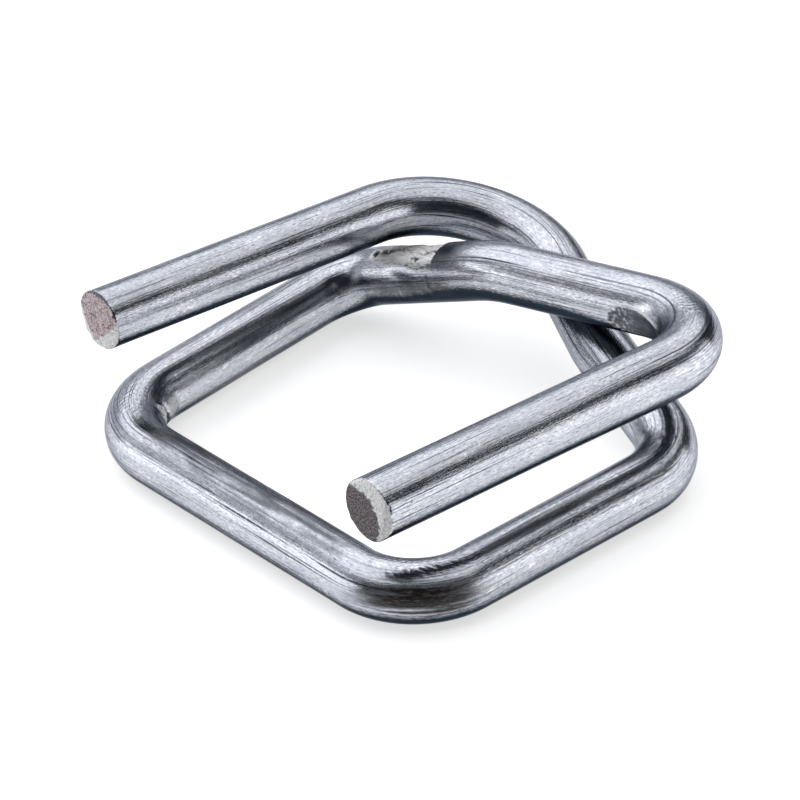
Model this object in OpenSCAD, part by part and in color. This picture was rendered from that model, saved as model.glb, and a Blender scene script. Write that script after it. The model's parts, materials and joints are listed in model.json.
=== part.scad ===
// Wire strapping buckle, lying on its base frame: one length of drawn steel wire.
// From the right prong's tip the wire runs back, crosses to the left, comes forward as the left bar,
// turns along the front bar and the right bar, crosses under itself and ends as the left prong.
// The origin is the middle of the front bar, +Y points to the back and +Z up.

/* [Wire] */
// Diameter of the drawn wire
wire_diameter = 3.5; // [3:0.1:4]
// How much thinner the wire is drawn where it bends
bend_thinning = 0.02; // [0.01:0.01:0.05]
// Bevel that the shear leaves round each cut end
end_bevel = 0.2; // [0.1:0.05:0.5]

/* [Base frame] */
// Width of the strap, which lies along the side bars
strap_width = 16; // [13:0.5:20]
// Room beside the strap on the right bar
strap_clearance = 0.8; // [0.4:0.1:2]
// Distance between the side bars at the front bar, centre to centre
frame_width = 26; // [24:0.5:32]
// How far the left bar leans out at its rear end
left_lean = 3; // [1:0.25:4]
// How much longer the left bar is than the right bar
left_excess = 0.5; // [0:0.1:2]
// How far the right bar leans in at its rear end
right_lean = 0.4; // [0:0.1:1]
// Bend radius of the front left corner, to the wire's centre line
front_left_radius = 5.5; // [4:0.25:7]
// Bend radius of the front right corner, to the wire's centre line
front_right_radius = 4.2; // [3:0.1:6]
// Bend radius of the rear right corner, to the wire's centre line
rear_right_radius = 4.5; // [3:0.25:6]
// Bend radius of the kink behind the left bar, to the wire's centre line
kink_radius = 3; // [2.4:0.1:4]

/* [Crossing bars] */
// Clear height between the two bars where they cross
crossing_gap = 0.25; // [0.1:0.05:0.6]
// Height of the lower bar's dip above the base frame, centre to centre
dip_height = 2; // [1.5:0.1:2.4]
// Distance of the dip from the right bar
dip_offset = 10; // [8:0.5:12]
// Distance of the dip behind the rear right corner
dip_setback = 2.9; // [2:0.1:4]
// Distance of the upper bar's brow from the left bar
brow_offset = 9.6; // [8:0.2:11]
// Distance of the brow behind the kink
brow_setback = 0.4; // [0:0.1:1]
// Bend radius of the brow, to the wire's centre line
brow_radius = 7.9; // [6:0.1:10]
// Bend radius of the dip, to the wire's centre line
dip_radius = 8; // [6:0.5:12]

/* [Prongs] */
// Clear height between the prongs' tips and the side bars, for the folded strap
strap_gap = 2.9; // [2.4:0.1:4]
// How far the right prong's tip stands in front of the front bar's centre line
right_overhang = 1.8; // [0:0.1:3]
// How far the right prong's tip stands inside the right bar
right_tip_inset = 1.1; // [0:0.1:2]
// How far the right prong's corner stands inside the right bar
right_corner_inset = 0.3; // [0:0.1:1]
// Distance of the right prong's corner behind the rear right corner
right_corner_setback = 4.8; // [4:0.1:6]
// Bend radius of the right prong's corner, to the wire's centre line
right_corner_radius = 4.9; // [4:0.1:6]
// How far the left prong's tip stays behind the front bar's centre line
left_tip_setback = 0.4; // [0:0.1:3]
// How far the left prong's tip stands outside the left bar
left_tip_outset = 0.3; // [0:0.1:1]
// How far the left prong's arch stands inside the left bar
arch_inset = 0.2; // [0:0.1:1]
// Distance of the arch behind the rear right corner
arch_setback = 10.1; // [9:0.1:12]
// How much lower the arch is than the prongs' tips
arch_drop = 1.2; // [0.6:0.1:1.6]
// Bend radius of the arch, to the wire's centre line
arch_radius = 6.9; // [5.5:0.1:8]

/* [Tool marks] */
// Depth of the flat that the press coined on top of the upper bar, behind the kink
coin_depth = 0.55; // [0.4:0.05:0.7]
// Length of the coined flat
coin_length = 6.2; // [4:0.2:6.4]
// Distance of the coined flat from the kink's bend
coin_offset = 0.3; // [0.2:0.1:1]
// How far the coined flat runs out towards the kink, in degrees
coin_tilt = 4; // [0:0.5:5]
// Depth of the bending pin's mark inside the right prong's corner
pin_mark_depth = 0.3; // [0.1:0.05:0.5]
// How far the bending pin stood from the corner's centre, along the upper bar
pin_mark_shift = 0.35; // [0.2:0.05:0.8]
// Taper of the bending pin, which makes its mark face down, in degrees
pin_taper = 15; // [0:1:25]
// Depth of the split across the inside of the front left corner
split_depth = 0.4; // [0.2:0.05:0.6]
// Width of the split at the wire's surface
split_width = 0.8; // [0.4:0.1:1.2]
// How far round the front left corner the split lies, in degrees
split_turn = 31; // [20:1:60]

/* [Hidden] */
$fn = 96;
wire_radius = wire_diameter / 2;
// The straights run this far into the bends, so that the wire is one solid
bend_lap = 0.12;
half_width = frame_width / 2;
rear_reach = strap_width + strap_clearance + wire_diameter;
kink_reach = rear_reach + left_excess;
prong_rise = wire_diameter + strap_gap;
right_corner_x = half_width - right_corner_inset;
dip_x = half_width - dip_offset;
brow_x = brow_offset - half_width;
// The upper bar climbs from the brow to the right corner and clears the dip on its way
crossing_rise = dip_height + wire_diameter + crossing_gap;
bar_slope = (prong_rise - crossing_rise) / (right_corner_x - dip_x);
brow_rise = crossing_rise - bar_slope * (dip_x - brow_x);

// Corners of the wire's centre line with their bend radii, in the order in which the wire runs
RIGHT_CORNER = 1;
BROW = 2;
KINK = 3;
FRONT_LEFT = 4;
route = [
    [half_width - right_tip_inset, -right_overhang, prong_rise],
    [right_corner_x, rear_reach + right_corner_setback, prong_rise],
    [brow_x, kink_reach + brow_setback, brow_rise],
    [-half_width - left_lean, kink_reach, 0],
    [-half_width, 0, 0],
    [half_width, 0, 0],
    [half_width - right_lean, rear_reach, 0],
    [dip_x, rear_reach + dip_setback, dip_height],
    [arch_inset - half_width, rear_reach + arch_setback, prong_rise - arch_drop],
    [-half_width - left_tip_outset, left_tip_setback, prong_rise]];
bend_radius = [
    0, right_corner_radius, brow_radius, kink_radius, front_left_radius, front_right_radius,
    rear_right_radius, dip_radius, arch_radius, 0];
last = len(route) - 1;

function unit(v) = v / norm(v);
function heading(i) = unit(route[i + 1] - route[i]);
function turn(i) = acos(heading(i - 1) * heading(i));
// Distance from a corner to the ends of its bend
function reach(i) = i == 0 || i == last ? 0 : bend_radius[i] * tan(turn(i) / 2);
function bend_start(i) = route[i] - heading(i - 1) * reach(i);
function bend_end(i) = route[i] + heading(i) * reach(i);
function bend_axis(i) = unit(cross(heading(i - 1), heading(i)));
function inward(i) = cross(bend_axis(i), heading(i - 1));
function straight_length(i) = norm(bend_start(i + 1) - bend_end(i));
// Level direction across a straight, which points to the back on the crossing bars
function across(i) = unit(cross(heading(i), [0, 0, 1]));
function placing(x, y, z, origin) = [
    [x[0], y[0], z[0], origin[0]],
    [x[1], y[1], z[1], origin[1]],
    [x[2], y[2], z[2], origin[2]],
    [0, 0, 0, 1]];

// Puts its children at the start of a straight: Z along the wire, X level across it, -Y upwards
module on_straight(i) {
    multmatrix(placing(across(i), cross(heading(i), across(i)), heading(i), bend_end(i))) children();
}

module straight(i) {
    on_straight(i) translate([0, 0, -bend_lap])
        cylinder(r = wire_radius, h = straight_length(i) + 2 * bend_lap);
}

// A straight with a bevelled free end at Z = 0 that laps into one bend
module prong(length) {
    rotate_extrude() polygon([
        [0, 0],
        [wire_radius - end_bevel, 0],
        [wire_radius, end_bevel],
        [wire_radius, length + bend_lap],
        [0, length + bend_lap]]);
}

// Puts its children at the centre of a bend: Z along its axis, X to its start, Y along the wire there
module on_bend(i) {
    multmatrix(placing(-inward(i), heading(i - 1), bend_axis(i), bend_start(i) + inward(i) * bend_radius[i]))
        children();
}

module bend(i) {
    on_bend(i)
        rotate_extrude(angle = turn(i))
            translate([bend_radius[i], 0])
                circle(d = wire_diameter - bend_thinning);
}

// Block that leaves the coined flat, on the straight between brow and kink
module coined_flat() {
    on_straight(BROW)
        translate([-wire_radius, coin_depth - wire_radius, straight_length(BROW) - coin_offset - coin_length])
            rotate([coin_tilt, 0, 0])
                translate([0, -wire_radius, 0])
                    cube([wire_diameter, wire_radius, coin_length]);
}

// Tapered pin that the right prong's corner was bent round, narrower at its top
module bending_pin() {
    waist = bend_radius[RIGHT_CORNER] - (wire_radius - pin_mark_depth) / cos(pin_taper);
    flare = wire_radius * tan(pin_taper);
    on_bend(RIGHT_CORNER)
        rotate([0, 0, turn(RIGHT_CORNER)])
            translate([0, pin_mark_shift, 0])
                cylinder(r1 = waist + flare, r2 = waist - flare, h = wire_diameter, center = true);
}

// Wedge that leaves the split inside the front left corner
module split_wedge() {
    on_bend(FRONT_LEFT)
        rotate([0, 0, split_turn])
            translate([bend_radius[FRONT_LEFT] - wire_radius + split_depth, 0, 0])
                linear_extrude(wire_diameter, center = true)
                    polygon([[0, 0], [-2 * split_depth, split_width], [-2 * split_depth, -split_width]]);
}

// The upper crossing bar with its tool marks, from the right prong's corner to the kink
module upper_bar() {
    difference() {
        union() {
            bend(RIGHT_CORNER);
            straight(RIGHT_CORNER);
        }
        bending_pin();
    }
    bend(BROW);
    difference() {
        straight(BROW);
        coined_flat();
    }
}

module buckle_wire() {
    color("silver") union() {
        on_straight(0) prong(straight_length(0));
        upper_bar();
        difference() {
            bend(FRONT_LEFT);
            split_wedge();
        }
        for (i = [KINK : last - 1]) if (i != FRONT_LEFT) bend(i);
        for (i = [KINK : last - 2]) straight(i);
        on_straight(last - 1) translate([0, 0, straight_length(last - 1)])
            mirror([0, 0, 1]) prong(straight_length(last - 1));
    }
}

buckle_wire();
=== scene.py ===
"""Wire strapping buckle: the zinc-plated wire with its tool marks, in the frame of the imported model."""

import functools
import json
import math
from collections import namedtuple

import bmesh
import bpy
from mathutils import Matrix, Vector, noise


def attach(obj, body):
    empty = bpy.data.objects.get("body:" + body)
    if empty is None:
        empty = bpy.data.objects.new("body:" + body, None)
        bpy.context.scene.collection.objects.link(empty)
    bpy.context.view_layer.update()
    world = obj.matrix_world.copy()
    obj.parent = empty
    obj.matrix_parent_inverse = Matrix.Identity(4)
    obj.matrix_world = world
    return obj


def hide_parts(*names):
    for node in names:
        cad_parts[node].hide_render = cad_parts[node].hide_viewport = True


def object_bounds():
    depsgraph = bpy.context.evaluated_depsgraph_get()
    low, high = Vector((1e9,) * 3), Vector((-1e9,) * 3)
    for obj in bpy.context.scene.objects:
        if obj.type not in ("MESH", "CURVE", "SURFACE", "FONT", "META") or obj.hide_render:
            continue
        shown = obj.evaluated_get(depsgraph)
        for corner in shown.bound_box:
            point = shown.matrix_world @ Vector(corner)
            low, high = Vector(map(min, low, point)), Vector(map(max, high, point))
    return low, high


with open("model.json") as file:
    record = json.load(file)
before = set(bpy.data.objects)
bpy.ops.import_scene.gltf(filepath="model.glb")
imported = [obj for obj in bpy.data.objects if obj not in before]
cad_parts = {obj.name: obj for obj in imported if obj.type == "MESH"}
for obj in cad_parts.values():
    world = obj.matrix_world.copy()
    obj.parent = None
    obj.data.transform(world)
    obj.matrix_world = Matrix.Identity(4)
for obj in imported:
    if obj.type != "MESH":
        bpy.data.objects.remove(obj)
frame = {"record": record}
cad_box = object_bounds()

MM = 0.001
UP = Vector((0, 0, 1))
MOUNTS = {mount["name"]: mount for mount in frame["record"]["mounts"]}
WIRE_RADIUS = MOUNTS["right_prong"]["dims"]["r_mm"] * MM
# Distance below which two places count as one
NUDGE = 1e-6

# Corners of the wire's centre line with their bend radii, in the order in which the wire runs
ROUTE = [
    (Vector(MOUNTS["right_prong"]["pos_m"]), 0.0),
    (Vector((0.0127, 0.0251, 0.0064)), 0.0049),  # right corner
    (Vector((-0.0034, 0.0212, 0.00532)), 0.0079),  # brow
    (Vector((-0.016, 0.0208, 0.0)), 0.003),  # kink
    (Vector((-0.013, 0.0, 0.0)), 0.0055),  # front left corner
    (Vector((0.013, 0.0, 0.0)), 0.0042),  # front right corner
    (Vector((0.0126, 0.0203, 0.0)), 0.0045),  # rear right corner
    (Vector((0.003, 0.0232, 0.002)), 0.008),  # dip
    (Vector((-0.0128, 0.0304, 0.0052)), 0.0069),  # arch
    (Vector(MOUNTS["left_prong"]["pos_m"]), 0.0),
]
# Stretches of the route that carry tool marks: straights have even numbers and bends odd ones
RIGHT_CORNER, RISE, KINK, LEFT_BAR, FRONT_LEFT = 1, 4, 5, 6, 7
FRONT_BAR, FRONT_RIGHT, RIGHT_BAR, REAR_RIGHT = 8, 9, 10, 11

# A straight or a bend: where it starts along the wire, its length, its frame there and a bend's circle
Stretch = namedtuple("Stretch", "start length place centre axis radius")


def swing(centre, axis, angle):
    """Turn about an axis through a centre."""
    return Matrix.Translation(centre) @ Matrix.Rotation(angle, 4, axis) @ Matrix.Translation(-centre)


def wire_stretches():
    """Straights and bends in the order in which the wire runs, each with the frame at its start."""
    corners = [corner for corner, radius in ROUTE]
    headings = [(b - a).normalized() for a, b in zip(corners, corners[1:])]
    turns = [0.0] + [a.angle(b) for a, b in zip(headings, headings[1:])] + [0.0]
    reaches = [radius * math.tan(turn / 2) for (corner, radius), turn in zip(ROUTE, turns)]
    place = headings[0].to_track_quat("Z", "Y").to_matrix().to_4x4()
    place.translation = corners[0]
    start = 0.0
    stretches = []
    for i, heading in enumerate(headings):
        length = (corners[i + 1] - corners[i]).length - reaches[i] - reaches[i + 1]
        stretches.append(Stretch(start, length, place, None, None, 0.0))
        place = Matrix.Translation(heading * length) @ place
        start += length
        if i + 1 < len(headings):
            radius, turn = ROUTE[i + 1][1], turns[i + 1]
            axis = heading.cross(headings[i + 1]).normalized()
            centre = place.translation + axis.cross(heading) * radius
            stretches.append(Stretch(start, radius * turn, place, centre, axis, radius))
            place = swing(centre, axis, turn) @ place
            start += radius * turn
    return stretches


STRETCHES = wire_stretches()
WIRE_LENGTH = STRETCHES[-1].start + STRETCHES[-1].length


def span_of(number):
    """Where a stretch of the wire starts and ends."""
    return STRETCHES[number].start, STRETCHES[number].start + STRETCHES[number].length


def place_at(along):
    """Frame of the bent wire at a length along it: X and Y across the wire, Z along it."""
    stretch = STRETCHES[0]
    for following in STRETCHES[1:]:
        if following.start > along:
            break
        stretch = following
    ahead = along - stretch.start
    if stretch.axis is None:
        return stretch.place @ Matrix.Translation((0, 0, ahead))
    return swing(stretch.centre, stretch.axis, ahead / stretch.radius) @ stretch.place


def across(along, direction):
    """Direction in the part's frame as a unit vector across the straight wire."""
    local = place_at(along).to_3x3().inverted() @ direction
    return Vector((local.x, local.y, 0)).normalized()


def inside_of(number):
    """Direction across the straight wire that will face the centre of a bend."""
    bend = STRETCHES[number]
    return across(bend.start, bend.centre - bend.place.translation)


@functools.lru_cache(maxsize=None)
def sides(along):
    """Directions across the straight wire that will face up and to the right of its run."""
    top = across(along, UP)
    return top, Vector((-top.y, top.x, 0))


def lean(point, along):
    """Degrees round the wire from its top, positive to the right of its run."""
    top, right = sides(along)
    return math.degrees(math.atan2(point.dot(right), point.dot(top)))


# Lumps of noise: size across the wire, length along it and a number that sets each kind apart. Kinds of
# endless length change only across the wire.
Grain = namedtuple("Grain", "size length seed")
GRAINS = {
    "waves": Grain(1.2 * MM, 8 * MM, 0),
    "pin_crackle": Grain(0.22 * MM, 0.12 * MM, 3),
    "step_jags": Grain(0.5 * MM, math.inf, 5),
    "crumple": Grain(0.35 * MM, 0.9 * MM, 0),
    "fine_crumple": Grain(0.16 * MM, 0.35 * MM, 7),
    "flake_jags": Grain(0.2 * MM, 0.5 * MM, 31),
    "belly_streaks": Grain(0.16 * MM, 3 * MM, 53),
    "ruffles": Grain(0.5 * MM, 0.5 * MM, 3),
    "kink_streaks": Grain(0.16 * MM, 4 * MM, 37),
    "split_jags": Grain(0.4 * MM, math.inf, 3),
    "nub_lumps": Grain(0.25 * MM, 0.25 * MM, 9),
    "chalk_streaks": Grain(0.2 * MM, 5 * MM, 47),
    "scuff_streaks": Grain(0.22 * MM, 5 * MM, 41),
    "scuff_patches": Grain(0.4 * MM, 1 * MM, 43),
    "wiped_streaks": Grain(0.16 * MM, 3 * MM, 23),
    "wrinkle_bends": Grain(0.4 * MM, 0.6 * MM, 5),
    "facet_jags": Grain(0.22 * MM, math.inf, 19),
    "break_lumps": Grain(0.3 * MM, math.inf, 11),
    "break_grains": Grain(0.14 * MM, math.inf, 29),
}


def grit(kind, point, along):
    """Noise of one kind, between -1 and 1, at a place on the straight wire."""
    size, length, seed = GRAINS[kind]
    return noise.noise(Vector((point.x / size + seed, point.y / size, along / length)))


def smooth(low, high, value):
    """0 up to one edge and 1 from the other, with a soft step between."""
    share = min(max((value - low) / (high - low), 0.0), 1.0)
    return share * share * (3 - 2 * share)


def between(low, high, fade, value):
    """1 between two edges and 0 beyond them, with a soft step of one length inside each."""
    return smooth(low, low + fade, value) * smooth(high, high - fade, value)


def hump(value, middle, width):
    """1 at a middle, fading to nothing over about two widths to each side."""
    return math.exp(-((value - middle) / width) ** 2)


# A soft spot on the wire: its middle and length along it, and its lean and width round it in degrees
Spot = namedtuple("Spot", "middle length lean width")


def within(spot, along, angle):
    """1 in the middle of a spot, fading to nothing round it."""
    return hump(along, spot.middle, spot.length) * hump(angle, spot.lean, spot.width)


def spot_on(number, middle, length, angle, width):
    """Spot on a stretch of the wire, with its middle and length as shares of that stretch."""
    stretch = STRETCHES[number]
    return Spot(stretch.start + middle * stretch.length, length * stretch.length, angle, width)


def pressed(point, facing, height):
    """Pushes what stands above a flat down onto it."""
    return point - facing * max(point.dot(facing) - height, 0.0)


# What a tool leaves on the zinc, each from 0 to 1, with painted light among it: rubbed dark, with painted
# shade; burnished or crushed white, with painted highlights; and painted dark, as shade in crevices and
# as a dark reflection
Wear = namedtuple("Wear", "rub burnish grease", defaults=(0.0, 0.0, 0.0))

# Among the values of the marks below, a name that holds a pair gives the two edges of a soft step

# The tapered pin that the right corner was bent round left a mark that faces a little down
CORNER_END = span_of(RIGHT_CORNER)[1]
PIN_FROM, PIN_TO = CORNER_END - 5.4 * MM, CORNER_END + 1.9 * MM
PIN_DEPTH = 0.28 * MM
PIN_SHIFT = 0.35 * MM
PIN_RADIUS = 3.4 * MM
PIN_TAPER = math.radians(13)
PIN_INSIDE = inside_of(RIGHT_CORNER)
PIN_EDGE = 0.03 * MM
PIN_RUB = 0.87
# Its rim is painted with a highlight just outside the mark, where the mark is deep enough and, in wire
# radii, high enough
RIM_OUTSIDE, RIM_WIDTH = 0.04 * MM, 0.035 * MM
RIM_DEPTHS = 0.03 * MM, 0.15 * MM
RIM_ONSET = -0.2, 0.2
RIM_HIGHLIGHT = 0.8
# It is crackled where it ends on the upper bar, and the ridges of the crackle are painted lighter than
# the rest as a highlight
CRACKLE_FROM, CRACKLE_TO = CORNER_END - 0.2 * MM, CORNER_END + 0.8 * MM
CRACKLE_HEIGHT = 0.05 * MM
RIDGE_CRACKLE = 0.0, 0.35
RIDGE_LIGHTENING, RIDGE_HIGHLIGHT = 0.6, 0.4


def pin_mark(point, along):
    """Mark of the bending pin: dark, with a painted highlight along its upper rim, and crackled on the
    upper bar with painted highlights on the ridges.
    """
    top = sides(along)[0]
    facing = PIN_INSIDE * math.cos(PIN_TAPER) - top * math.sin(PIN_TAPER)
    short = CORNER_END - along
    if short > 0:
        depth = PIN_DEPTH - PIN_SHIFT * math.sin(short / STRETCHES[RIGHT_CORNER].radius)
    else:
        depth = PIN_DEPTH - (short + PIN_SHIFT) ** 2 / (2 * PIN_RADIUS)
    crackle = grit("pin_crackle", point, along)
    crackled = smooth(CRACKLE_FROM, CRACKLE_TO, along)
    height = WIRE_RADIUS - depth + CRACKLE_HEIGHT * crackle * crackled
    outside = height - point.dot(facing)
    # Painted highlight along the rim, on the upper side only
    rim = hump(outside, RIM_OUTSIDE, RIM_WIDTH) * smooth(*RIM_DEPTHS, depth)
    rim *= smooth(*RIM_ONSET, point.dot(top) / WIRE_RADIUS)
    rub = smooth(0, PIN_EDGE, -outside)
    # Ridges of the crackle painted lighter, a painted highlight
    ridge = RIDGE_LIGHTENING * rub * crackled * smooth(*RIDGE_CRACKLE, crackle)
    wear = Wear(rub=PIN_RUB * rub * (1 - ridge), burnish=max(RIM_HIGHLIGHT * rim, RIDGE_HIGHLIGHT * ridge))
    return pressed(point, facing, height), wear


# The press coined a flat on top of the rise, which has a ragged step at the brow and runs out at the kink
COIN_TO = span_of(RISE)[1]
COIN_FROM = COIN_TO - 6.5 * MM
COIN_DEPTH = 0.55 * MM
COIN_TILT = math.radians(4)
COIN_FADE = 1 * MM
STEP_LENGTH, STEP_JAG = 0.2 * MM, 0.3 * MM
CRUMPLE_HEIGHT, FINE_CRUMPLE_HEIGHT = 0.16 * MM, 0.09 * MM
CRUMPLE_DEPTHS = 0.0, 0.4 * MM
# The white of the flat ends in flakes on the bar's flanks, below the flat by these heights
FLAKE_HEIGHTS = -0.5 * MM, -0.2 * MM
FLAKE_JAG = 0.2 * MM
# Cracks in the flat, in mm: place along the wire and distance to the right, at both ends of each
COIN_CRACKS = [
    ((49.6, -0.79), (47.1, 0.4)),
    ((45.5, -0.25), (43.9, 0.55)),
    ((45.8, -0.7), (44.9, -1.05)),
]
CRACK_WIDTH = 0.24 * MM
CRACK_DEPTH = 0.32 * MM
CRACK_JAG, CRACK_JAG_LENGTH = 0.2 * MM, 0.25 * MM
# Heights over which the cracks open, in wire radii above the wire's middle
CRACK_ONSET = 0.4, 0.6
# Shares of a crack's length over which it opens and closes, and openings over which it is painted dark as
# shade
CRACK_OPENS, CRACK_CLOSES = 0.2, 0.25
CRACK_SHADE = 0.2, 0.6


def coin_crack(aside, along):
    """How far open the cracks in the coined flat are at a distance to the right, from 0 to 1."""
    opening = 0.0
    jag = CRACK_JAG * noise.noise(Vector((along / CRACK_JAG_LENGTH, 0, 0)))
    for (from_along, from_aside), (to_along, to_aside) in COIN_CRACKS:
        share = (along / MM - from_along) / (to_along - from_along)
        if 0 < share < 1:
            path = (from_aside + share * (to_aside - from_aside)) * MM + jag
            ends = smooth(0, CRACK_OPENS, share) * smooth(1, 1 - CRACK_CLOSES, share)
            opening = max(opening, hump(aside, path, CRACK_WIDTH) * ends)
    return opening


# The front of the rise was pinched while the flat was pressed
PINCH = Spot(COIN_FROM + 3.1 * MM, 0.9 * MM, -86, 30)
PINCH_DEPTH = 0.12 * MM
# It folded along a slanting line between two lips, with this lean at its end and change of lean per metre
FOLD_FROM, FOLD_TO = COIN_FROM + 0.9 * MM, COIN_FROM + 4.2 * MM
FOLD_FADE = 0.7 * MM
FOLD_LEAN, FOLD_SLANT, FOLD_WIDTH = -64.6, 11.4 / MM, 8
# The fold's depth, and the painted shade in it
FOLD_DEPTH, FOLD_SHADE = 0.03 * MM, 0.25
LIP_OFFSET, LIP_WIDTH, LIP_SHARE = 24, 13, 0.5
# A short crease crosses the bar between the step and the fold
CREASE = Spot(COIN_FROM + 0.5 * MM, 0.13 * MM, -94, 14)
# The crease's depth, and the painted shade in it
CREASE_DEPTH, CREASE_SHADE = 0.06 * MM, 0.6
# Below the fold it puckered, in ridges that shift along the wire with each degree of lean
PUCKERS = Spot(PINCH.middle - 0.5 * MM, 1.4 * MM, -114, 18)
PUCKER_HEIGHT = 0.013 * MM
PUCKER_SPACING = 0.33 * MM
PUCKER_SHIFT, PUCKER_JAG = 0.008 * MM, 0.16 * MM


def pinch(point, along):
    """How deep the front of the rise is pinched, and how much painted shade its fold and crease get, from
    0 to 1.
    """
    angle = lean(point, along)
    offset = angle - FOLD_LEAN - FOLD_SLANT * (along - FOLD_TO)
    run = between(FOLD_FROM, FOLD_TO, FOLD_FADE, along)
    fold = run * hump(offset, 0, FOLD_WIDTH)
    lips = run * (hump(offset, LIP_OFFSET, LIP_WIDTH) + hump(offset, -LIP_OFFSET, LIP_WIDTH))
    crease = within(CREASE, along, angle)
    ruffled = along + PUCKER_SHIFT * angle + PUCKER_JAG * grit("ruffles", point, along)
    pucker = math.sin(2 * math.pi * ruffled / PUCKER_SPACING) * within(PUCKERS, along, angle)
    depth = FOLD_DEPTH * (fold - LIP_SHARE * lips) + CREASE_DEPTH * crease
    depth += PUCKER_HEIGHT * pucker + PINCH_DEPTH * within(PINCH, along, angle)
    return depth, max(FOLD_SHADE * fold, CREASE_SHADE * crease)


# The bar is rubbed dark on its shoulder before the step, and painted dark as shade in streaks on its
# belly below the flat
SHOULDER_FROM, SHOULDER_TO = COIN_FROM - 3.2 * MM, COIN_FROM - 1 * MM
SHOULDER_LEAN, SHOULDER_WIDTH = -24, 34
BELLY_FROM, BELLY_FADE = COIN_FROM - 2 * MM, 2 * MM
BELLY_LEAN, BELLY_WIDTH, BELLY_STREAK = -102, 24, 12
BELLY_SHADE = 0.7


def coin(point, along):
    """Crumpled flat with its cracks, on the bar that was pinched and rubbed beside it, with painted shade
    in the cracks, the fold and crease, and in streaks on its belly.
    """
    top, right = sides(along)
    angle = lean(point, along)
    aside = point.dot(right)
    step = COIN_FROM + STEP_JAG * grit("step_jags", point, along)
    coined = smooth(step - STEP_LENGTH / 2, step + STEP_LENGTH / 2, along)
    coined *= smooth(COIN_TO, COIN_TO - COIN_FADE, along)
    depth = (COIN_DEPTH - math.tan(COIN_TILT) * (along - COIN_FROM)) * coined
    crumple = CRUMPLE_HEIGHT * grit("crumple", point, along)
    crumple += FINE_CRUMPLE_HEIGHT * grit("fine_crumple", point, along)
    height = WIRE_RADIUS - depth + crumple * smooth(*CRUMPLE_DEPTHS, depth)
    above = point.dot(top) - height
    point = pressed(point, top, height)
    flaked = coined * smooth(*FLAKE_HEIGHTS, above + FLAKE_JAG * grit("flake_jags", point, along))
    crack = coin_crack(aside, along) * smooth(*CRACK_ONSET, point.dot(top) / WIRE_RADIUS)
    point = point - top * CRACK_DEPTH * crack
    pinched, fold_shade = pinch(point, along)
    point = point - point.normalized() * pinched
    shoulder = 0.0
    if along < step:
        shoulder = smooth(SHOULDER_FROM, SHOULDER_TO, along) * hump(angle, SHOULDER_LEAN, SHOULDER_WIDTH)
    # Painted shade in streaks along the belly, below the flat
    belly_shade = BELLY_SHADE * between(BELLY_FROM, COIN_TO, BELLY_FADE, along)
    belly_shade *= hump(angle + BELLY_STREAK * grit("belly_streaks", point, along), BELLY_LEAN, BELLY_WIDTH)
    # Painted shade in the cracks and in the fold and crease
    grease = max(smooth(*CRACK_SHADE, crack), fold_shade)
    return point, Wear(max(shoulder, belly_shade), flaked * (1 - crack), grease)


# The tool that the kink was bent over rubbed its inside, near its start
KINK_RUBBED = spot_on(KINK, 0.2, 0.3, -66, 20)
KINK_RUB, KINK_STREAK = 0.8, 16


def kinked(point, along):
    """Inside of the kink, rubbed dark in streaks."""
    angle = lean(point, along) - KINK_STREAK * grit("kink_streaks", point, along)
    return point, Wear(rub=KINK_RUB * within(KINK_RUBBED, along, angle))


# The front left corner split open inside its bend, and each side of the split bulged to a nub
SPLIT_AT = STRETCHES[FRONT_LEFT].start + math.radians(31) * STRETCHES[FRONT_LEFT].radius
SPLIT_FROM, SPLIT_TO = SPLIT_AT - 2.5 * MM, SPLIT_AT + 2.5 * MM
SPLIT_DEPTH, SPLIT_JAG = 0.4 * MM, 0.15 * MM
# Leans over which the split deepens from its upper end, widens, and ends below
SPLIT_DEEPENS, SPLIT_WIDENS, SPLIT_ENDS = (-62, -95), (-70, -120), (-155, -130)
SPLIT_HALF_WIDTH, SPLIT_WIDENING = 0.18 * MM, 0.75 * MM
# Depths over which it is painted dark as shade
SPLIT_SHADE = 0.02 * MM, 0.12 * MM
# The nubs' places along the wire are measured from the split
NUBS = [Spot(1.3 * MM, 0.5 * MM, -62, 16), Spot(-1.2 * MM, 0.7 * MM, -84, 17)]
NUB_HEIGHT, NUB_LUMPS = 0.24 * MM, 0.5
# Shares of a nub's height over which it turns bright
NUB_BURNISH = 0.15, 0.6


def split(point, along):
    """Split across the inside of the front left corner, wider towards the bottom, between its nubs."""
    angle = lean(point, along)
    aside = along - SPLIT_AT + SPLIT_JAG * grit("split_jags", point, along)
    half_width = SPLIT_HALF_WIDTH + SPLIT_WIDENING * smooth(*SPLIT_WIDENS, angle)
    depth = SPLIT_DEPTH * max(1 - abs(aside) / half_width, 0)
    depth *= smooth(*SPLIT_DEEPENS, angle) * smooth(*SPLIT_ENDS, angle)
    nub = sum(within(spot, aside, angle) for spot in NUBS)
    lumps = 1 + NUB_LUMPS * grit("nub_lumps", point, along)
    point = point * (1 + (NUB_HEIGHT * nub * lumps - depth) / WIRE_RADIUS)
    # Painted shade in the split, darker where it is deeper
    groove_shade = smooth(*SPLIT_SHADE, depth)
    return point, Wear(burnish=smooth(*NUB_BURNISH, nub) * (1 - groove_shade), grease=groove_shade)


# Chalk on the left bar: its amount and how far that varies in streaks. It fades over a length whose outer
# edge lies past the bar's ends.
CHALK, CHALK_STREAK = 0.1, 0.22
CHALK_PAST, CHALK_FADE = 1 * MM, 3 * MM


def chalked(point, along):
    """Left bar, whitened in streaks by the chalk that zinc turns to in the damp."""
    low, high = span_of(LEFT_BAR)
    streak = CHALK + CHALK_STREAK * grit("chalk_streaks", point, along)
    run = between(low - CHALK_PAST, high + CHALK_PAST, CHALK_FADE, along)
    return point, Wear(burnish=max(streak, 0) * run)


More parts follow.
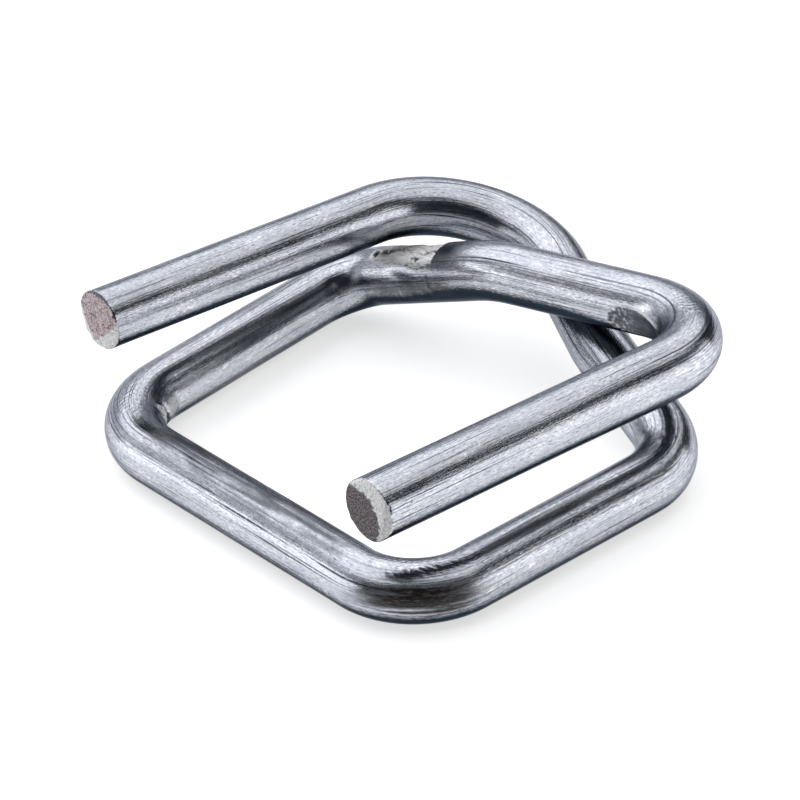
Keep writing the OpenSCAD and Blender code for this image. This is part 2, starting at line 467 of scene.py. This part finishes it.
# Scuffs on the front bar: their amount, how far that varies in streaks and in patches, the most there is,
# and the leans over which they set in. They fade as the chalk does.
SCUFF, SCUFF_STREAK, SCUFF_PATCH, SCUFF_MOST = 0.6, 0.8, 0.4, 0.8
SCUFF_LEANS = 58, 12
SCUFF_PAST, SCUFF_FADE = 2 * MM, 4 * MM


def scuffed(point, along):
    """Top of the front bar, dulled in streaks by the strap that slides over it."""
    low, high = span_of(FRONT_BAR)
    streak = SCUFF + SCUFF_STREAK * grit("scuff_streaks", point, along)
    streak += SCUFF_PATCH * grit("scuff_patches", point, along)
    run = between(low - SCUFF_PAST, high + SCUFF_PAST, SCUFF_FADE, along)
    run *= smooth(*SCUFF_LEANS, lean(point, along))
    return point, Wear(rub=min(max(streak, 0), SCUFF_MOST) * run)


# A painted dark reflection lies in a band round the outside of the front right corner, and the bending
# tool rubbed the right bar from there on
DARK_REFLECTION = spot_on(FRONT_RIGHT, 0.55, 0.4, 74, 30)
DARK_REFLECTION_STREAK = 26
DARK_REFLECTION_EDGE = 0.15, 0.8
# The rub sets in over a length to each side of the bar's start, and fades from a place further on
TRAIL_START, TRAIL_FADE = 1 * MM, 4 * MM
TRAIL_LEAN, TRAIL_WIDTH, TRAIL_STREAK = 19, 11, 10
TRAIL_RUB = 0.8


def dark_reflection_corner(point, along):
    """Outside of the front right corner, with a band of painted dark reflection that ends in streaks."""
    angle = lean(point, along) - DARK_REFLECTION_STREAK * grit("wiped_streaks", point, along)
    return point, Wear(grease=smooth(*DARK_REFLECTION_EDGE, within(DARK_REFLECTION, along, angle)))


def wiped_bar(point, along):
    """Top of the right bar, rubbed dark in a streak that fades towards the back."""
    low, high = span_of(RIGHT_BAR)
    angle = lean(point, along) - TRAIL_STREAK * grit("wiped_streaks", point, along)
    run = smooth(low - TRAIL_START, low + TRAIL_START, along) * smooth(high, low + TRAIL_FADE, along)
    return point, Wear(rub=TRAIL_RUB * run * hump(angle, TRAIL_LEAN, TRAIL_WIDTH))


# Sides of the wire, rings of vertices across a cut end, and distances between rings along the wire
SIDES = 128
END_RINGS = 24
STRAIGHT_SPACING, SCUFF_SPACING, BEND_SPACING, MARK_SPACING = 0.9 * MM, 0.6 * MM, 0.25 * MM, 0.08 * MM
# Each tool mark with the length of wire that it is on and the distance between its rings of vertices
MARKS = [
    (PIN_FROM, PIN_TO, MARK_SPACING, pin_mark),
    (SHOULDER_FROM, COIN_TO, MARK_SPACING, coin),
    (*span_of(KINK), BEND_SPACING, kinked),
    (*span_of(LEFT_BAR), SCUFF_SPACING, chalked),
    (SPLIT_FROM, SPLIT_TO, MARK_SPACING, split),
    (*span_of(FRONT_BAR), SCUFF_SPACING, scuffed),
    (*span_of(FRONT_RIGHT), MARK_SPACING, dark_reflection_corner),
    (*span_of(RIGHT_BAR), SCUFF_SPACING, wiped_bar),
]
# Bends wrinkled along their tops, with how strongly each is
WRINKLES = {RIGHT_CORNER: 0.4, FRONT_LEFT: 0.5, FRONT_RIGHT: 1.0, REAR_RIGHT: 0.5}
WRINKLE_HEIGHT = 0.018 * MM
WRINKLE_SPACING = 0.34 * MM
# Heights over which the wrinkles set in, in wire radii above the wire's middle
WRINKLE_ONSET = 0.75, 0.98
# How far a wrinkle trails for each length aside, and how far it wanders in spacings
WRINKLE_SWEEP, WRINKLE_JAG = 0.9, 0.7


def wrinkles(point, along):
    """Fine chevrons that a bend pushes up along its top."""
    for number, strength in WRINKLES.items():
        bend = STRETCHES[number]
        share = (along - bend.start) / bend.length
        if 0 < share < 1:
            top, right = sides(along)
            crest = smooth(*WRINKLE_ONSET, point.dot(top) / WIRE_RADIUS) * math.sin(math.pi * share)
            swept = along - WRINKLE_SWEEP * abs(point.dot(right))
            phase = swept / WRINKLE_SPACING + WRINKLE_JAG * grit("wrinkle_bends", point, along)
            ridge = strength * WRINKLE_HEIGHT * crest * math.sin(2 * math.pi * phase)
            point = point * (1 + ridge / WIRE_RADIUS)
    return point


# Facets that the shear left on a cut end. Each lies beyond a curved edge, which is chord from the middle
# of the end in a direction and has a radius, both in wire radii. A facet falls away at a slope, and is
# burnished where it is bright and painted dark as shade where it is not.
Facet = namedtuple("Facet", "direction chord radius slope bright")
RIGHT_END = [
    Facet(Vector((0.73, 0, 0.68)), 0.42, 1.0, 0.2, 1.0),
    Facet(Vector((0.97, 0, -0.25)), 0.72, 2.0, 0.3, 0.9),
]
LEFT_END = [
    Facet(Vector((0.59, 0, -0.80)), 0.46, 6.0, 0.2, 1.0),
    Facet(Vector((-0.84, 0, -0.54)), 0.62, 6.0, 0.25, 1.0),
    # This facet is painted dark as shade
    Facet(Vector((0.1, 0, 1.0)), 0.8, 3.0, 0.2, 0.1),
]
# Raggedness and softness of a facet's edge, in wire radii
FACET_JAG, FACET_SOFTNESS = 0.13, 0.04
# The rim is rounded from a share of the radius outwards, and the cut disturbs the wire up to a reach
END_RIM, END_ROUNDING = 0.93, 0.1 * MM
END_REACH = 1.0 * MM
# Height of the lumps on the broken face, and how strong the finer grains are beside them
BREAK_HEIGHT, BREAK_GRAINS = 0.025 * MM, 0.8


def end_depth(flat, along, facets):
    """How far below the tip a place on a cut end lies, and its wear and painted shade."""
    depth, rub, burnish = 0.0, 0.0, 0.0
    ragged = FACET_JAG * grit("facet_jags", flat, along)
    for facet in facets:
        centre = across(along, facet.direction) * (facet.chord - facet.radius)
        beyond = (flat / WIRE_RADIUS - centre).length - facet.radius + ragged
        depth += facet.slope * WIRE_RADIUS * max(beyond, 0)
        edge = smooth(0.0, FACET_SOFTNESS, beyond)
        rub += (1 - facet.bright - rub) * edge
        burnish += (facet.bright - burnish) * edge
    return depth, Wear(rub, burnish)


def sheared(point, along, on_end):
    """Cut ends: a rough broken face, facets beside it and a rounded rim."""
    near = along < WIRE_LENGTH / 2
    inset = along if near else WIRE_LENGTH - along
    if inset > END_REACH:
        return along, Wear()
    flat = Vector((point.x, point.y, 0))
    depth, wear = end_depth(flat, along, RIGHT_END if near else LEFT_END)
    depth += END_ROUNDING * smooth(END_RIM, 1.0, flat.length / WIRE_RADIUS)
    if on_end:
        lumps = 1 + grit("break_lumps", flat, along) + BREAK_GRAINS * grit("break_grains", flat, along)
        depth += BREAK_HEIGHT * lumps
    depth *= smooth(END_REACH, 0, inset)
    along += depth if near else -depth
    return along, wear if on_end else Wear()


# The wire is drawn this much under its size, and its waves take up most of that
WAVE, WAVE_SHARE = 0.018 * MM, 0.8
# Upward part of the surface's direction below which the undersides are painted dark as shade, on most of
# the wire and on the upper bar from the crossing to the brow
UNDERSIDE_SHADE_LEVEL, UNDERSIDE_SHADE_CROSSING = -0.2, -0.02
CROSSING_FROM, CROSSING_TO, CROSSING_FADE = 31 * MM, 46 * MM, 4 * MM


def spacing_at(along):
    """Distance between rings of vertices: closer in bends and closest in tool marks."""
    if min(along, WIRE_LENGTH - along) < END_REACH:
        return MARK_SPACING
    spacings = [spacing for low, high, spacing, mark in MARKS if low <= along < high]
    if any(bend.start <= along < bend.start + bend.length for bend in STRETCHES[1::2]):
        spacings.append(BEND_SPACING)
    return min(spacings, default=STRAIGHT_SPACING)


def ring_places():
    """Lengths along the wire at which it has a ring of vertices."""
    places = [0.0]
    while places[-1] < WIRE_LENGTH:
        places.append(places[-1] + spacing_at(places[-1]))
    return [place * WIRE_LENGTH / places[-1] for place in places]


def straight_wire():
    """The wire before it is bent, along Z, with rings of vertices and flat ends."""
    places = ring_places()
    mesh = bmesh.new()
    bmesh.ops.create_circle(mesh, segments=SIDES, radius=WIRE_RADIUS - WAVE)
    far = bmesh.ops.extrude_edge_only(mesh, edges=mesh.edges[:])["geom"]
    far_rim = [item for item in far if isinstance(item, bmesh.types.BMVert)]
    bmesh.ops.translate(mesh, verts=far_rim, vec=(0, 0, len(places) - 1))
    lengthwise = [edge for edge in mesh.edges if edge.calc_length() > 1]
    bmesh.ops.subdivide_edges(mesh, edges=lengthwise, cuts=len(places) - 2)
    for vert in mesh.verts:
        vert.co.z = places[round(vert.co.z)]
    ends = bmesh.ops.holes_fill(mesh, edges=[edge for edge in mesh.edges if edge.is_boundary])["faces"]
    # The rings stop short of the middle of each end and leave a small face there
    ring_width = WIRE_RADIUS / (END_RINGS + 0.5)
    for ring in range(END_RINGS):
        bmesh.ops.inset_region(mesh, faces=ends, thickness=ring_width)
    return mesh


def mark_wire(mesh):
    """Presses the tool marks into the straight wire, and notes places before bending, wear and painted
    light.
    """
    unbent, worn, painted_light = [
        mesh.verts.layers.float_vector.new(name) for name in ("unbent", "wear", "painted_light")]
    for vert in mesh.verts:
        vert[unbent] = vert.co
        along = vert.co.z
        point = Vector((vert.co.x, vert.co.y, 0))
        on_end = min(along, WIRE_LENGTH - along) < NUDGE and point.length < WIRE_RADIUS - WAVE - NUDGE
        wear = Wear()
        underside_shade_level = UNDERSIDE_SHADE_LEVEL
        underside_shade_level += (UNDERSIDE_SHADE_CROSSING - UNDERSIDE_SHADE_LEVEL) * between(CROSSING_FROM, CROSSING_TO, CROSSING_FADE, along)
        point *= 1 + WAVE_SHARE * WAVE / WIRE_RADIUS * grit("waves", point, along)
        for low, high, spacing, mark in MARKS:
            if low < along < high:
                point, wear = mark(point, along)
        point = wrinkles(point, along)
        along, end_wear = sheared(point, along, on_end)
        cut = 1 - max(end_wear.rub, end_wear.burnish) if on_end else 0.0
        vert[worn] = (max(wear.rub, end_wear.rub), max(wear.burnish, end_wear.burnish), cut)
        # Painted light: the level below which undersides are painted dark as shade, and the dark painted
        # into crevices and round the front right corner
        vert[painted_light] = (underside_shade_level, wear.grease, 0.0)
        vert.co = (point.x, point.y, along)


def bend_wire(mesh):
    """Bends the marked straight wire along its route."""
    for vert in mesh.verts:
        x, y, along = vert.co
        vert.co = place_at(along) @ Vector((x, y, 0))


def linear(hex_colour):
    """sRGB hex colour as linear RGBA."""
    channels = [int(hex_colour[i:i + 2], 16) / 255 for i in (1, 3, 5)]
    return [c / 12.92 if c < 0.04045 else ((c + 0.055) / 1.055) ** 2.4 for c in channels] + [1.0]


def add_node(tree, kind, inputs=None, **settings):
    """Adds a shader node with its settings, and its inputs as values or as links."""
    node = tree.nodes.new("ShaderNode" + kind)
    for name, value in settings.items():
        setattr(node, name, value)
    for name, value in (inputs or {}).items():
        if isinstance(value, bpy.types.NodeSocket):
            tree.links.new(value, node.inputs[name])
        else:
            node.inputs[name].default_value = value
    return node


# Patterns on the wire: width across it, length along it and detail. Its crystals and die lines are really
# finer than this, and are drawn coarser so that they show.
PATTERNS = {
    "draw_lines": (0.11 * MM, 7 * MM, 3),
    "die_bands": (0.45 * MM, 22 * MM, 3),
    "crystals": (0.07 * MM, 0.26 * MM, 3),
    "clouds": (0.7 * MM, 2.6 * MM, 4),
    "flakes": (0.25 * MM, 0.5 * MM, 4),
    "crumple": (0.11 * MM, 0.8 * MM, 3),
    "fracture": (0.11 * MM, 0.11 * MM, 3),
    "pits": (0.3 * MM, 0.3 * MM, 3),
}
# How strongly the finer detail of a pattern shows
PATTERN_HARSHNESS = 0.6
# Shares from 0 to 1 that grow or shrink with a pattern: gain and offset
SHARES = {
    "grainy": ("crystals", 2.6, -0.8),
    "dull": ("clouds", -2.2, 1.25),
    "cloudy": ("clouds", 5.0, -2.2),
    "flaky": ("flakes", 9.0, -5.0),
    "lined": ("draw_lines", -8.0, 3.8),
    "banded": ("die_bands", -5.0, 3.1),
    "speckled": ("crystals", -5.0, 2.05),
    "sparkling": ("crystals", 4.0, -2.4),
    "crumpled": ("crumple", 5.0, -1.5),
    "smeared": ("crystals", 5.0, -2.5),
    "broken": ("fracture", 4.0, -1.5),
    "pitted": ("pits", -10.0, 4.3),
}
# Colours that vary between a dark and a light one by a share
MOTTLED = {
    "plate": ("grainy", "#A8ACB6", "#D8DAE0"),
    "rubbed_and_shaded": ("cloudy", "#36393F", "#505359"),
    "burnished_and_highlit": ("crumpled", "#A79EA1", "#FFFFFF"),
    "painted_dark_tone": ("smeared", "#2A2625", "#6A635E"),
    "right_break": ("broken", "#322F30", "#7C7677"),
    "left_break": ("broken", "#7A6D70", "#C2B5B6"),
}
# How far the crystals break the edge of the painted underside shade, and the edge's gain and offset
UNDERSIDE_SHADE_SPECKLE, UNDERSIDE_SHADE_GAIN, UNDERSIDE_SHADE_OFFSET = -0.3, 4.0, 0.6
# Roughness of the smoothest plate, and what its clouds and its wear add
PLATE_ROUGHNESS, CLOUD_ROUGHNESS, WEAR_ROUGHNESS = 0.05, 0.26, 0.25
# Height of the plate's relief, in which the die lines stand taller than the crystals
RELIEF, LINE_RELIEF = 0.0085 * MM, 1.3


def plate_patterns(tree, unbent):
    """Patterns that follow the wire, and the shares and mottled colours that come of them, by name."""
    patterns, shares, mottled = {}, {}, {}
    for name, (width, length, detail) in PATTERNS.items():
        scaled = add_node(tree, "VectorMath", {
            0: unbent, 1: (1 / width, 1 / width, 1 / length)}, operation="MULTIPLY").outputs["Vector"]
        patterns[name] = add_node(tree, "TexNoise", {
            "Vector": scaled, "Scale": 1.0, "Detail": detail,
            "Roughness": PATTERN_HARSHNESS}).outputs["Fac"]
    for name, (pattern, gain, offset) in SHARES.items():
        shares[name] = add_node(tree, "Math", {
            0: patterns[pattern], 1: gain, 2: offset},
            operation="MULTIPLY_ADD", use_clamp=True).outputs[0]
    for name, (share, dark, light) in MOTTLED.items():
        mottled[name] = add_node(tree, "Mix", {
            "Factor": shares[share], "A": linear(dark), "B": linear(light)},
            data_type="RGBA").outputs["Result"]
    return patterns, shares, mottled


def zinc_plate():
    """Bright zinc plate on drawn wire.

    The plate is thin, so the die's lengthwise lines show through it as dark streaks, and its crystals
    break the edges of each reflection into specks. Where tools pressed it, it is rubbed dark or crushed
    to a white chalk, and the cut ends show bare broken steel. Shade is painted dark onto the undersides,
    the belly below the flat and one cut facet, and dark and matt into the cracks, fold, crease and split;
    a dark reflection is painted matt round the front right corner, and highlights on the pin mark's rim
    and on the ridges of its crackle.
    """
    material = bpy.data.materials.new("bright_zinc_on_drawn_wire")
    material.use_nodes = True
    tree = material.node_tree
    surface = tree.nodes["Principled BSDF"]
    unbent = add_node(tree, "Attribute", attribute_name="unbent").outputs["Vector"]
    wear, painted_light, place, facing = [add_node(tree, "SeparateXYZ", {0: vector}).outputs for vector in (
        add_node(tree, "Attribute", attribute_name="wear").outputs["Vector"],
        add_node(tree, "Attribute", attribute_name="painted_light").outputs["Vector"],
        unbent,
        add_node(tree, "TexCoord").outputs["Normal"])]
    patterns, shares, mottled = plate_patterns(tree, unbent)
    flaked, streaked = [
        add_node(tree, "Math", {0: shares[first], 1: shares[second]}, operation="MULTIPLY").outputs[0]
        for first, second in (("flaky", "cloudy"), ("lined", "banded"))]
    left = add_node(tree, "Math", {
        0: place["Z"], 1: WIRE_LENGTH / 2}, operation="GREATER_THAN").outputs[0]
    left_end = add_node(tree, "Math", {0: wear["Z"], 1: left}, operation="MULTIPLY").outputs[0]
    pitted = add_node(tree, "Math", {0: shares["pitted"], 1: left_end}, operation="MULTIPLY").outputs[0]
    # Undersides painted dark as shade, with an edge broken by the crystals
    underside_shade = add_node(tree, "Math", {0: painted_light["X"], 1: facing["Z"]}, operation="SUBTRACT").outputs[0]
    underside_shade = add_node(tree, "Math", {
        0: patterns["crystals"], 1: UNDERSIDE_SHADE_SPECKLE, 2: underside_shade}, operation="MULTIPLY_ADD").outputs[0]
    underside_shade = add_node(tree, "Math", {
        0: underside_shade, 1: UNDERSIDE_SHADE_GAIN, 2: UNDERSIDE_SHADE_OFFSET}, operation="MULTIPLY_ADD", use_clamp=True).outputs[0]

    plate = mottled["plate"]
    for share, colour in (
            (shares["dull"], linear("#A9ADB7")),
            (flaked, linear("#F2F3F6")),
            (streaked, linear("#39414B")),
            (shares["speckled"], linear("#4A525D")),
            (shares["sparkling"], linear("#F2F3F6")),
            # Painted shade on the undersides
            (underside_shade, linear("#2F363D")),
            # Tones of the tools' marks, which also carry painted highlights, painted shade and a painted
            # dark reflection
            (wear["Y"], mottled["burnished_and_highlit"]),
            (wear["X"], mottled["rubbed_and_shaded"]),
            (painted_light["Y"], mottled["painted_dark_tone"]),
            (wear["Z"], mottled["right_break"]),
            (left_end, mottled["left_break"]),
            (pitted, linear("#33292C"))):
        plate = add_node(tree, "Mix", {
            "Factor": share, "A": plate, "B": colour}, data_type="RGBA").outputs["Result"]
    tree.links.new(plate, surface.inputs["Base Color"])
    surface.inputs["Specular Tint"].default_value = linear("#B3B6BC")

    covered = add_node(tree, "Math", {0: wear["Y"], 1: painted_light["Y"]}, operation="MAXIMUM").outputs[0]
    bare = add_node(tree, "Math", {0: 1.0, 1: covered}, operation="SUBTRACT").outputs[0]
    tree.links.new(bare, surface.inputs["Metallic"])

    worn = add_node(tree, "Math", {0: wear["X"], 1: wear["Y"]}, operation="MAXIMUM").outputs[0]
    worn = add_node(tree, "Math", {0: worn, 1: wear["Z"]}, operation="MAXIMUM").outputs[0]
    rough = add_node(tree, "Math", {
        0: patterns["clouds"], 1: CLOUD_ROUGHNESS, 2: PLATE_ROUGHNESS},
        operation="MULTIPLY_ADD").outputs[0]
    rough = add_node(tree, "Math", {
        0: worn, 1: WEAR_ROUGHNESS, 2: rough}, operation="MULTIPLY_ADD").outputs[0]
    tree.links.new(rough, surface.inputs["Roughness"])

    height = add_node(tree, "Math", {
        0: patterns["draw_lines"], 1: LINE_RELIEF, 2: patterns["crystals"]},
        operation="MULTIPLY_ADD").outputs[0]
    height = add_node(tree, "Math", {
        0: wear["Z"], 1: patterns["fracture"], 2: height}, operation="MULTIPLY_ADD").outputs[0]
    bump = add_node(tree, "Bump", {"Height": height, "Strength": 1.0, "Distance": RELIEF})
    tree.links.new(bump.outputs["Normal"], surface.inputs["Normal"])
    return material


def finished_piece(name, mesh, material):
    """Object at the origin with a finished mesh and its material."""
    data = bpy.data.meshes.new(name)
    mesh.to_mesh(data)
    mesh.free()
    data.materials.append(material)
    piece = bpy.data.objects.new(name, data)
    bpy.context.collection.objects.link(piece)
    return piece


def buckle():
    """The whole wire, marked while straight and then bent."""
    mesh = straight_wire()
    mark_wire(mesh)
    bend_wire(mesh)
    bmesh.ops.recalc_face_normals(mesh, faces=mesh.faces)
    for face in mesh.faces:
        face.smooth = True
    piece = finished_piece("wire", mesh, zinc_plate())
    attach(piece, "root")
    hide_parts("buckle_wire")


# Half the side of the square table, whose top is level with the wire's underside
FLOOR_SIZE = 0.5
FLOOR_HEIGHT = cad_box[0].z
# What the table glows by, where it is seen or mirrored, to be white without more light on the buckle
FLOOR_GLOW = 0.64


def white_table():
    """Matt white laminate, which is plain white wherever no shadow falls on it."""
    material = bpy.data.materials.new("white_table")
    material.use_nodes = True
    tree = material.node_tree
    surface = tree.nodes["Principled BSDF"]
    surface.inputs["Base Color"].default_value = linear("#EDEDED")
    surface.inputs["Roughness"].default_value = 0.9
    surface.inputs["Emission Color"].default_value = linear("#FFFFFF")
    rays = add_node(tree, "LightPath").outputs
    seen = rays["Is Camera Ray"]
    for ray in ("Is Glossy Ray", "Is Transmission Ray"):
        seen = add_node(tree, "Math", {0: seen, 1: rays[ray]}, operation="MAXIMUM").outputs[0]
    glow = add_node(tree, "Math", {0: seen, 1: FLOOR_GLOW}, operation="MULTIPLY").outputs[0]
    tree.links.new(glow, surface.inputs["Emission Strength"])
    return material


def floor():
    """White table that the buckle lies on."""
    mesh = bmesh.new()
    bmesh.ops.create_grid(mesh, x_segments=1, y_segments=1, size=FLOOR_SIZE)
    bmesh.ops.translate(mesh, verts=mesh.verts, vec=(0, 0, FLOOR_HEIGHT))
    piece = finished_piece("floor", mesh, white_table())


def towards(azimuth, elevation, distance):
    """Place at a distance from the origin: azimuth 0 is in front of the front bar and 90 to its right."""
    azimuth, elevation = math.radians(azimuth), math.radians(elevation)
    return Vector((
        math.sin(azimuth) * math.cos(elevation),
        -math.cos(azimuth) * math.cos(elevation),
        math.sin(elevation))) * distance


# Studio lamps, each with its place, size and radiance, and the place that they all face
LAMPS = {
    "overhead": (Vector((-0.09, 0.075, 0.36)), (0.8, 0.8), 0.77),
    "left_panel": (towards(-36, 8, 0.25), (0.24, 0.13), 1.12),
    "right_panel": (towards(137, 8, 0.25), (0.3, 0.13), 1.1),
}
LAMP_AIM = Vector((0, 0.01, 0.003))
# Power that gives a lamp of unit area unit radiance
LAMP_POWER = 4
# The room is lit on its left, and turns dark between two cosines of the angle to that side
ROOM_LIT_SIDE = towards(-88, 25, 1.0)
ROOM_EDGE = 0.25, 0.9
ROOM_DARK, ROOM_LIT = "#2E3238", "#CBCDD3"


def softbox(name, location, size, radiance):
    """Rectangular studio lamp that faces the object."""
    data = bpy.data.lights.new(name, "AREA")
    data.shape = "RECTANGLE"
    data.size, data.size_y = size
    data.energy = LAMP_POWER * size[0] * size[1] * radiance
    piece = bpy.data.objects.new(name, data)
    piece.location = location
    piece.rotation_mode = "QUATERNION"
    piece.rotation_quaternion = (LAMP_AIM - location).to_track_quat("-Z", "Y")
    bpy.context.collection.objects.link(piece)


def studio():
    """Large lamp overhead, white panels beside the table and a dim room, lit from the left."""
    for name, (location, size, radiance) in LAMPS.items():
        softbox(name, location, size, radiance)
    world = bpy.data.worlds.new("studio")
    world.use_nodes = True
    tree = world.node_tree
    direction = add_node(tree, "TexCoord").outputs["Generated"]
    facing = add_node(tree, "VectorMath", {
        0: direction, 1: ROOM_LIT_SIDE}, operation="DOT_PRODUCT").outputs["Value"]
    low, high = ROOM_EDGE
    lit = add_node(tree, "MapRange", {
        "Value": facing, "From Min": low, "From Max": high}).outputs["Result"]
    colour = add_node(tree, "Mix", {
        "Factor": lit, "A": linear(ROOM_DARK), "B": linear(ROOM_LIT)}, data_type="RGBA").outputs["Result"]
    tree.links.new(colour, tree.nodes["Background"].inputs["Color"])
    bpy.context.scene.world = world


# The camera, as fitted to the wire's outline in the photograph: angles in degrees, lens in millimetres
CAMERA_AZIMUTH, CAMERA_ELEVATION, CAMERA_ROLL = 49.914, 30.92, -2.411
CAMERA_TARGET = Vector((0.799, 10.185, 3.5)) * MM
CAMERA_DISTANCE = 219.633 * MM
CAMERA_LENS, CAMERA_SENSOR = 180.78, 36
CAMERA_SHIFT = -0.00085, -0.00636
CAMERA_NEAREST = 10 * MM


def camera():
    """The photograph's view."""
    data = bpy.data.cameras.new("camera")
    data.lens = CAMERA_LENS
    data.sensor_width = CAMERA_SENSOR
    data.shift_x, data.shift_y = CAMERA_SHIFT
    data.clip_start = CAMERA_NEAREST
    piece = bpy.data.objects.new("camera", data)
    away = towards(CAMERA_AZIMUTH, CAMERA_ELEVATION, CAMERA_DISTANCE)
    look = (-away).to_track_quat("-Z", "Y").to_matrix().to_4x4()
    roll = Matrix.Rotation(math.radians(CAMERA_ROLL), 4, "Z")
    piece.matrix_world = Matrix.Translation(CAMERA_TARGET + away) @ look @ roll
    bpy.context.collection.objects.link(piece)
    bpy.context.scene.camera = piece


buckle()
floor()
camera()
studio()
bpy.context.scene.view_settings.view_transform = "Standard"
